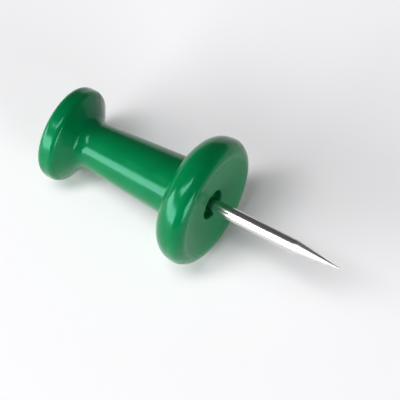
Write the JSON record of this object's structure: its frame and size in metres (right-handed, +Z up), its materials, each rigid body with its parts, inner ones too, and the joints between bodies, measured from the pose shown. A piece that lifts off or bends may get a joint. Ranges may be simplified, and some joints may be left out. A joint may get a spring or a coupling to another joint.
{
  "type": "push pin",
  "caption": "Push pin with a glossy spool-shaped plastic handle moulded around a pointed steel needle, pressed into a soft board by hand to hold paper.",
  "frame": {"origin": "on the table, under the middle of the box around the pin as it lies on its side", "axes": "+X runs from the thumb disc to the point, +Z is up from the table, and the pin's own axis rises 6.5 degrees towards the point because the collar is wider than the thumb disc"},
  "size_m": [0.0232, 0.0096, 0.0096],
  "materials": {
    "green_plastic": "glossy, coloured right through",
    "bright_steel": "bright plated wire with a ground point"
  },
  "bodies": {
    "root": {"handle": "green_plastic", "needle": "bright_steel"}
  },
  "joints": []
}
